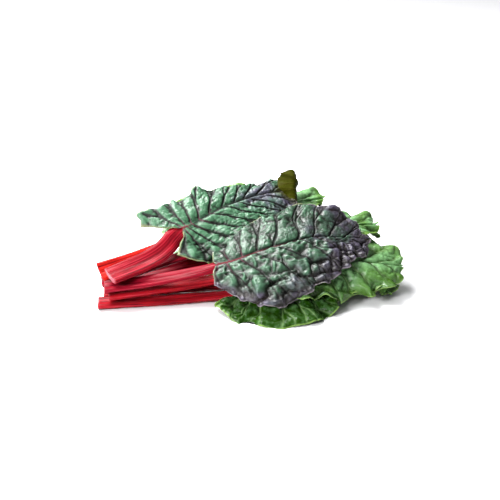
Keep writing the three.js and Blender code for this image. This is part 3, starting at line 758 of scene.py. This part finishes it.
def fineBlade(name, leaf):
    look = crinkle[leaf["tone"]]
    t = np.linspace(0, 1, bladeForm["rows"] * look["rowSteps"] + 1)
    s = np.linspace(-1, 1, 2 * bladeForm["halfColumns"] * look["columnSteps"] + 1)
    edges, edgeFlat = bladeSurface(leaf, t, np.array([-1.0, 1.0]))
    arc = runLength(edges, 0)
    stretch = [edgeStretch(leaf, k, t, arc[:, k], edgeFlat[:, k, 0]) for k in (0, 1)]
    base, flat = bladeSurface(leaf, t, s, 0.0, stretch)
    rise = splineAt(laid[name]["rise"], t, False)
    base[..., 2] += splineAt(rise.T, (s + 1) / 2, False).T
    base = wavedBase(leaf, base, flat, t, s)
    sheet = {"t": t[:, None], "s": s, "q": np.abs(s)[None], "flat": flat,
             "arc": np.where(s < 0, arc[:, :1], arc[:, 1:])}
    veins = sideVeins(leaf, sheet)
    parts = bladeRelief(leaf, sheet, veins)
    thinned = reliefForm["thinRim"] * smooth(reliefForm["thinFrom"], 1, sheet["q"])
    thick = bladeForm["thickness"] / 2 * (1 - thinned)
    normals = gridNormals(base)
    points = np.concatenate([(base + normals * (parts["relief"] + half)[..., None]).reshape(-1, 3)
                             for half in (thick, -thick)])
    points[:, 2] = np.maximum(points[:, 2], 0)
    faces, faceMaterial = sheetFaces(len(t), len(s))
    values = {key: np.tile(np.broadcast_to(field, flat.shape[:2]).ravel(), 2)
              for key, field in bladeTints(leaf, sheet, veins, parts, base).items()}
    materials = [upperFaces[leaf.get("finish", leaf["tone"])], lowerFaces[leaf["tone"]]]
    makePiece("leaf_" + name, "blade_" + name, points, faces, materials, faceMaterial, values)
    return len(faces)


def fineTube(rings):  # the sections drawn smooth around and along, lowered under the blade
    form = stalkForm
    around = np.concatenate([rings[:, -1:], rings, rings[:, :2]], axis=1)
    place = np.linspace(0, rings.shape[1], rings.shape[1] * form["fineAround"], endpoint=False)
    i = place.astype(int)
    ringFine = catmullRom(*(around[:, i + k] for k in range(4)), (place - i)[None, :, None])
    ringPlace = np.linspace(0, len(rings) - 1, (len(rings) - 1) * form["fineAlong"] + 1)
    tube = splineAt(ringFine, ringPlace / (len(rings) - 1), True)
    bladeShare = np.maximum(ringPlace - form["rings"], 0) / bladeForm["rows"]
    tube[..., 2] -= ribSink(bladeShare)[:, None]
    return tube


def cutFace(edge, inwards, turn, seed):  # rings in to the middle of a slightly hollow, torn face
    form = stalkForm
    centre = edge.mean(axis=0)
    caps = []
    for reach, depth in form["cutRings"]:
        torn = noise(np.cos(turn) * form["raggedTurn"] + reach * form["raggedShift"],
                     np.sin(turn) * form["raggedTurn"], seed)
        hollow = form["cutDip"] * depth + form["ragged"] * torn * (reach < 1)
        caps.append(centre + (edge - centre) * (reach * form["cutInset"]) + inwards * hollow[:, None])
    return caps, centre + inwards * form["cutDip"]


def tubeFaces(rows, sides):  # the walls, then the fans that close the cut face and the tip
    here = np.arange(sides)
    after = (here + 1) % sides
    last = (rows - 1) * sides
    faces = []
    for below in range(0, last, sides):
        above = below + sides
        faces += np.stack([below + here, below + after, above + after, above + here], axis=1).tolist()
    centrePoint, tipPoint = rows * sides, rows * sides + 1
    for a, b in zip(here.tolist(), after.tolist()):
        faces += [(centrePoint, b, a), (tipPoint, last + a, last + b)]
    return faces


def fineStalk(name, leaf):
    form = stalkForm
    seed = leaf["seed"] * 100 + 50
    tube = fineTube(laid[name]["rings"])
    sides = tube.shape[1]
    middle = tube.mean(axis=1)
    closed = np.concatenate([tube[:, -1:], tube, tube[:, :1]], axis=1)
    normals = gridNormals(closed)[:, 1:-1]
    outwards = np.sign(np.sum(normals * (tube - middle[:, None]), axis=2).mean())

    # Threads and bumps of the skin, on a cylinder as wide as the cut end
    girth = np.linalg.norm(np.diff(closed, axis=1), axis=2).sum(axis=1)[:, None]
    turn = np.linspace(0, 2 * math.pi, sides, endpoint=False)
    spread = girth[0] / (2 * math.pi)
    length = runLength(middle, 0)
    circle = np.cos(turn) * spread, np.sin(turn) * spread
    circleX, circleY, lengthMm = np.broadcast_arrays(*circle, length[:, None])
    thin, wide = form["streakWidth"], form["bumpWidth"]
    drawn = lengthMm / form["streakLength"]
    streak = noise(circleX / thin + drawn, circleY / thin + drawn, seed)
    bump = noise(circleX / wide + lengthMm / form["bumpLength"], circleY / wide + seed, seed + 1)
    proud = np.minimum(1, girth / form["fullGirth"])
    proud = proud * (form["streakDepth"] * streak + form["bumpDepth"] * bump)
    tube = tube + normals * outwards * proud[..., None]
    tube[..., 2] = np.maximum(tube[..., 2], 0)

    # The cut face with a soft bevel around it, and the tip
    inwards = unit(middle[1] - middle[0])
    caps, cutMiddle = cutFace(tube[0], inwards, turn, seed + 2)
    tube[0] += inwards * form["cutBevel"]
    tip = middle[-1] + (middle[-1] - middle[-2]) * form["tipRun"]
    points = np.concatenate([*caps, *tube, [cutMiddle, tip]])
    faces = tubeFaces(len(caps) + len(tube), sides)
    if outwards > 0:
        faces = [face[::-1] for face in faces]
    faceMaterial = [1] * (sides * len(caps)) + [0] * (sides * (len(tube) - 1)) + [1, 0] * sides

    def overAll(onCaps, onTube, ends):  # a value for the cut face, the skin and the end points
        return np.append(np.concatenate([onCaps, onTube]).ravel(), ends)

    none = np.zeros((len(caps), sides))
    reaches = [reach for reach, _ in form["cutRings"]]
    values = {
        "fromCut": overAll(none, lengthMm, [0, length[-1]]) / 1000,
        "streak": overAll(none, streak, [0, 0]) * 0.5 + 0.5,
        "threadX": overAll(none + circleX[:1], circleX, [0, 0]) / 1000,
        "threadY": overAll(none + circleY[:1], circleY, [0, 0]) / 1000,
        "warm": np.full(len(points), leaf["warm"]),
        "rim": np.append(np.repeat(reaches + [1] * len(tube), sides), [0, 1]),
    }
    makePiece("stem_" + name, "stalk_" + name, points, faces, stalkMaterials, faceMaterial, values)
    return len(faces)


# Materials

def linear(hexText):  # sRGB hex to linear
    channels = [int(hexText[k:k + 2], 16) / 255 for k in (1, 3, 5)]
    return [c / 12.92 if c <= 0.04045 else ((c + 0.055) / 1.055) ** 2.4 for c in channels] + [1.0]


def perMm(size):  # texture scale for a pattern of that many millimetres, in a scene in metres
    return 1000 / size


nodeDefaults = {"Mix": {"data_type": "RGBA"}, "Bump": {"Strength": 1.0}}
amount, under, over = 0, 6, 7  # inputs of a colour mix
noiseSpan = {"From Min": 0.3, "From Max": 0.7}  # most of a noise texture lies in this span


def addNode(tree, kind, values):  # a value that is a socket, or a node with one output in use, is linked
    node = tree.nodes.new("ShaderNode" + kind)
    for key, value in {**nodeDefaults.get(kind, {}), **values}.items():
        if isinstance(value, bpy.types.Node):
            value = next(output for output in value.outputs if output.enabled)
        if isinstance(value, bpy.types.NodeSocket):
            tree.links.new(value, node.inputs[key])
        elif isinstance(key, int) or key in node.inputs:
            node.inputs[key].default_value = value
        else:
            setattr(node, key, value)
    return node


def newMaterial(look, fields=()):  # with its colours in linear and the fields that it reads from the mesh
    material = bpy.data.materials.new(look["name"])
    material.use_nodes = True
    tree = material.node_tree
    tree.nodes.clear()
    add = partial(addNode, tree)
    colour = {key: linear(value) for key, value in look.items() if str(value).startswith("#")}
    field = {key: add("Attribute", {"attribute_name": key}).outputs["Fac"] for key in fields}
    return material, add, colour, field


bladeLook = {
    # waxy upper face, violet with age: the near-black blue-green of the hollows is painted shade, the paler
    # grey-green of the crests partly the waxy coat's own grey and partly painted sheen
    "dark": {
        "name": "ruby chard leaf, waxy upper face", "hollow": "#061103", "crest": "#3f6a4c",
        "violetHollow": "#150a0c", "violetCrest": "#524d60", "vein": "#040604", "veinRed": "#6a3a48",
        "yellow": "#35340a", "ribBase": "#560a16", "ribTip": "#2a0c10",
        "edge": "#8c9468", "violetEdge": "#7e747c",
        "roughness": (0.32, 0.5), "specular": 0.56, "grain": 2.8, "grainHeight": 0.0006,
    },
    # young leaf: clear green and glossy; darker in the hollows, which is painted shade, and paler and
    # greyer on the crests, partly painted sheen
    "green": {
        "name": "green chard leaf, glossy upper face", "hollow": "#1c3e02", "crest": "#74a26c",
        "violetHollow": "#1c4004", "violetCrest": "#528446", "vein": "#1f3c0c", "veinRed": "#7a9a62",
        "yellow": "#416708", "ribBase": "#8c222a", "ribTip": "#56703a",
        "edge": "#7c9c50", "violetEdge": "#7c9c50",
        "roughness": (0.24, 0.4), "specular": 0.42, "grain": 3.4, "grainHeight": 0.0006,
    },
}
# the lowest leaf lies in the shade of the others: its darker green hollows are painted shade, and it has
# less white haze over it
bladeLook["moist"] = {**bladeLook["green"], "name": "green chard leaf, moist upper face",
                      "hollow": "#163402", "roughness": (0.18, 0.3), "specular": 0.15}
# the grain of both faces stands for pores well under 1 mm, drawn coarser so that they show
faceForm = {"ior": 1.45, "mottle": 7, "mottleShare": 0.22, "vein": 0.9, "rim": 0.8, "dulling": 0.5}
underLook = {  # matt lower face: olive under the dark leaves, mid green under the others
    "dark": {"name": "ruby chard leaf, matt lower face",
             "hollow": "#343603", "crest": "#262a03", "vein": "#2e2a06"},
    "green": {"name": "green chard leaf, matt lower face",
              "hollow": "#3f602a", "crest": "#2c5018", "vein": "#6d8048"},
}
underForm = {"roughness": 0.5, "specular": 0.04, "grain": 2.5, "grainHeight": 0.0003, "vein": 0.75}


def upperFace(look):
    fields = ("vein", "veinRed", "rib", "alongRib", "ridge", "edge", "purple", "yellow")
    material, add, colour, field = newMaterial(look, fields)
    place = add("TexCoord", {}).outputs["Object"]
    mottle = add("TexNoise", {
        "Scale": perMm(faceForm["mottle"]), "Detail": 4.0, "Roughness": 0.6, "Vector": place})
    grain = add("TexNoise", {
        "Scale": perMm(look["grain"]), "Detail": 3.0, "Roughness": 0.65, "Vector": place})
    most = faceForm["mottleShare"]
    blotch = add("MapRange", {**noiseSpan, "To Min": -most, "To Max": most, "Value": mottle})
    # painted shade and sheen: the ridge field takes the colour from the dark hollow colour to the pale
    # crest colour
    height = add("Math", {"operation": "ADD", "use_clamp": True, 0: field["ridge"], 1: blotch})
    green = add("Mix", {amount: height, under: colour["hollow"], over: colour["crest"]})
    violet = add("Mix", {amount: height, under: colour["violetHollow"], over: colour["violetCrest"]})
    rim = add("Mix", {amount: field["purple"], under: colour["edge"], over: colour["violetEdge"]})
    rib = add("Mix", {amount: field["alongRib"], under: colour["ribBase"], over: colour["ribTip"]})
    # painted shade: the vein colour darkens the grooves of the side veins and the line of the midrib
    veinShare = add("Math", {"operation": "MULTIPLY", 0: field["vein"], 1: faceForm["vein"]})
    rimShare = add("Math", {"operation": "MULTIPLY", 0: field["edge"], 1: faceForm["rim"]})
    layers = ((field["purple"], violet), (field["yellow"], colour["yellow"]), (veinShare, colour["vein"]),
              (field["veinRed"], colour["veinRed"]), (rimShare, rim), (field["rib"], rib))
    skin = green
    for factor, layer in layers:
        skin = add("Mix", {amount: factor, under: skin, over: layer})
    glossiest, dullest = look["roughness"]
    gloss = add("MapRange", {**noiseSpan, "To Min": glossiest, "To Max": dullest, "Value": grain})
    sunk = add("Math", {"operation": "MAXIMUM", 0: field["vein"], 1: field["rib"]})
    dulled = add("Math", {
        "operation": "MULTIPLY_ADD", "use_clamp": True, 0: sunk, 1: faceForm["dulling"], 2: gloss})
    bump = add("Bump", {"Distance": look["grainHeight"], "Height": grain})
    shader = add("BsdfPrincipled", {
        "Base Color": skin, "Roughness": dulled, "Normal": bump,
        "IOR": faceForm["ior"], "Specular IOR Level": look["specular"]})
    add("OutputMaterial", {"Surface": shader})
    return material


def lowerFace(look):
    material, add, colour, field = newMaterial(look, ("vein", "ridge"))
    place = add("TexCoord", {}).outputs["Object"]
    grain = add("TexNoise", {
        "Scale": perMm(underForm["grain"]), "Detail": 4.0, "Roughness": 0.6, "Vector": place})
    height = add("Math", {"operation": "MULTIPLY", "use_clamp": True, 0: field["ridge"], 1: grain})
    skin = add("Mix", {amount: height, under: colour["hollow"], over: colour["crest"]})
    veinShare = add("Math", {"operation": "MULTIPLY", 0: field["vein"], 1: underForm["vein"]})
    veined = add("Mix", {amount: veinShare, under: skin, over: colour["vein"]})
    bump = add("Bump", {"Distance": underForm["grainHeight"], "Height": grain})
    shader = add("BsdfPrincipled", {
        "Base Color": veined, "Roughness": underForm["roughness"], "Normal": bump,
        "Specular IOR Level": underForm["specular"]})
    add("OutputMaterial", {"Surface": shader})
    return material


# the darker red of the sunk lengthwise streaks is partly painted shade, and the paler threads are partly
# painted highlights
stalkLook = {  # smooth moist skin, ruby red, with darker and paler threads along it
    "name": "ruby chard stalk, moist skin", "groove": "#4a030d", "ridge": "#7c081c", "pale": "#a43242",
    "warm": "#d82412", "roughness": 0.42, "specular": 0.05, "coat": 0.03, "coatRoughness": 0.15,
    "thread": 2.2, "threadHeight": 0.0005,  # real threads are finer, drawn coarser so that they show
    "threadStretch": 0.03, "threadContrast": 3.6, "patch": 22, "streakShare": 0.55,
    "paleFrom": 0.54, "paleTo": 0.68, "paleMost": 0.6,
}
cutLook = {  # cut flesh: watery pink, threads showing as paler dots, red skin around it
    "name": "ruby chard stalk, cut flesh", "flesh": "#a04a58", "dots": "#b88a86", "skin": "#7c1220",
    "roughness": 0.42, "ior": 1.4, "dot": 2.6, "dotHeight": 0.0004,  # dots drawn coarser too
    "dotEdge": 0.3, "dotCore": 0.12, "dotMost": 0.8, "skinFrom": 0.72, "skinTo": 0.95,
}


def stalkSkin(look):
    material, add, colour, field = newMaterial(look, ("streak", "threadX", "threadY", "fromCut", "warm"))
    place = add("TexCoord", {}).outputs["Object"]
    drawnOut = add("Math", {"operation": "MULTIPLY", 0: field["fromCut"], 1: look["threadStretch"]})
    onSkin = add("CombineXYZ", {"X": field["threadX"], "Y": field["threadY"], "Z": drawnOut})
    threads = add("TexNoise", {
        "Scale": perMm(look["thread"]), "Detail": 3.0, "Roughness": 0.6, "Vector": onSkin})
    patches = add("TexNoise", {"Scale": perMm(look["patch"]), "Detail": 3.0, "Vector": place})
    broad = add("Math", {
        "operation": "MULTIPLY_ADD", 0: field["streak"], 1: look["streakShare"], 2: patches})
    contrast = look["threadContrast"]
    fine = add("Math", {"operation": "MULTIPLY_ADD", 0: threads, 1: contrast, 2: -contrast / 2})
    shade = add("Math", {"operation": "ADD", "use_clamp": True, 0: broad, 1: fine})
    # painted light: the red turns brighter and more orange on the stalks that catch the most light
    lit = add("Mix", {amount: field["warm"], under: colour["ridge"], over: colour["warm"]})
    red = add("Mix", {amount: shade, under: colour["groove"], over: lit})
    paleShare = add("MapRange", {
        "Value": threads,
        "From Min": look["paleFrom"], "From Max": look["paleTo"], "To Max": look["paleMost"]})
    threaded = add("Mix", {amount: paleShare, under: red, over: colour["pale"]})
    bump = add("Bump", {"Distance": look["threadHeight"], "Height": threads})
    shader = add("BsdfPrincipled", {
        "Base Color": threaded, "Roughness": look["roughness"], "Normal": bump,
        "Specular IOR Level": look["specular"],
        "Coat Weight": look["coat"], "Coat Roughness": look["coatRoughness"]})
    add("OutputMaterial", {"Surface": shader})
    return material


def cutFlesh(look):
    material, add, colour, field = newMaterial(look, ("rim",))
    place = add("TexCoord", {}).outputs["Object"]
    dots = add("TexVoronoi", {"Scale": perMm(look["dot"]), "Vector": place})
    dotShare = add("MapRange", {
        "From Min": look["dotEdge"], "From Max": look["dotCore"], "To Max": look["dotMost"], "Value": dots})
    flesh = add("Mix", {amount: dotShare, under: colour["flesh"], over: colour["dots"]})
    rimShare = add("MapRange", {
        "From Min": look["skinFrom"], "From Max": look["skinTo"], "Value": field["rim"]})
    skinned = add("Mix", {amount: rimShare, under: flesh, over: colour["skin"]})
    bump = add("Bump", {"Distance": look["dotHeight"], "Height": dots})
    shader = add("BsdfPrincipled", {
        "Base Color": skinned, "Roughness": look["roughness"], "Normal": bump, "IOR": look["ior"]})
    add("OutputMaterial", {"Surface": shader})
    return material


upperFaces = {finish: upperFace(look) for finish, look in bladeLook.items()}
lowerFaces = {tone: lowerFace(look) for tone, look in underLook.items()}
stalkMaterials = [stalkSkin(stalkLook), cutFlesh(cutLook)]
print("materials made")

for name, leaf in leaves.items():
    print("leaf", name, fineBlade(name, leaf), "faces, stem", fineStalk(name, leaf), "faces")


# Table, light and camera

# white laminate: smooth and pale, so that only the soft shadow shows on it
tableLook = {"name": "white laminate", "colour": "#eeeef0", "size": 14.0, "roughness": 0.6}
tableMesh = bpy.data.meshes.new("table")
reach = tableLook["size"] / 2
tableMesh.from_pydata([(-reach, -reach, 0), (reach, -reach, 0), (reach, reach, 0), (-reach, reach, 0)], [],
                      [(0, 1, 2, 3)])
table = bpy.data.objects.new("table", tableMesh)
bpy.context.scene.collection.objects.link(table)
tableMaterial, add, tableColour, _ = newMaterial(tableLook)
tableShader = add("BsdfPrincipled", {
    "Base Color": tableColour["colour"], "Roughness": tableLook["roughness"]})
add("OutputMaterial", {"Surface": tableShader})
tableMesh.materials.append(tableMaterial)

studio = {
    "aim": (0, 0, 0.05),
    # a ceiling of diffused light, a bright softbox from the back left, a small raking fill from the front
    "lamps": {"ceiling": {"at": (-0.3, 0.7, 3.4), "size": 5.0, "power": 52},
              "key": {"at": (-0.8, 0.6, 1.5), "size": 1.0, "power": 104},
              "fill": {"at": (-1.3, -1.25, 0.9), "size": 0.5, "power": 56}},
    "sky": 0.2,
}
for name, lamp in studio["lamps"].items():
    light = bpy.data.lights.new(name, "AREA")
    light.energy = lamp["power"]
    light.size = lamp["size"]
    lampObject = bpy.data.objects.new(name, light)
    lampObject.location = lamp["at"]
    towards = Vector(studio["aim"]) - Vector(lamp["at"])
    lampObject.rotation_euler = towards.to_track_quat("-Z", "Y").to_euler()
    bpy.context.scene.collection.objects.link(lampObject)
world = bpy.data.worlds.new("white room")
world.use_nodes = True
background = world.node_tree.nodes["Background"]
background.inputs["Color"].default_value = (1, 1, 1, 1)
background.inputs["Strength"].default_value = studio["sky"]
bpy.context.scene.world = world
bpy.context.scene.view_settings.view_transform = "Standard"

shot = {"aimMm": (0, 0, 58), "elevation": 25, "distanceMm": 1300, "mmPerPixel": 1.29, "pixels": 500,
        "sensor": 36}
aim = Vector((centring + np.array(shot["aimMm"])) / 1000)
rise = math.radians(shot["elevation"])
back = Vector((0, -math.cos(rise), math.sin(rise)))
camera = bpy.data.objects.new("camera", bpy.data.cameras.new("camera"))
camera.data.sensor_width = shot["sensor"]
camera.data.lens = shot["sensor"] * shot["distanceMm"] / (shot["mmPerPixel"] * shot["pixels"])
camera.location = aim + back * shot["distanceMm"] / 1000
camera.rotation_euler = back.to_track_quat("Z", "Y").to_euler()
bpy.context.scene.collection.objects.link(camera)
bpy.context.scene.camera = camera
print("studio ready")
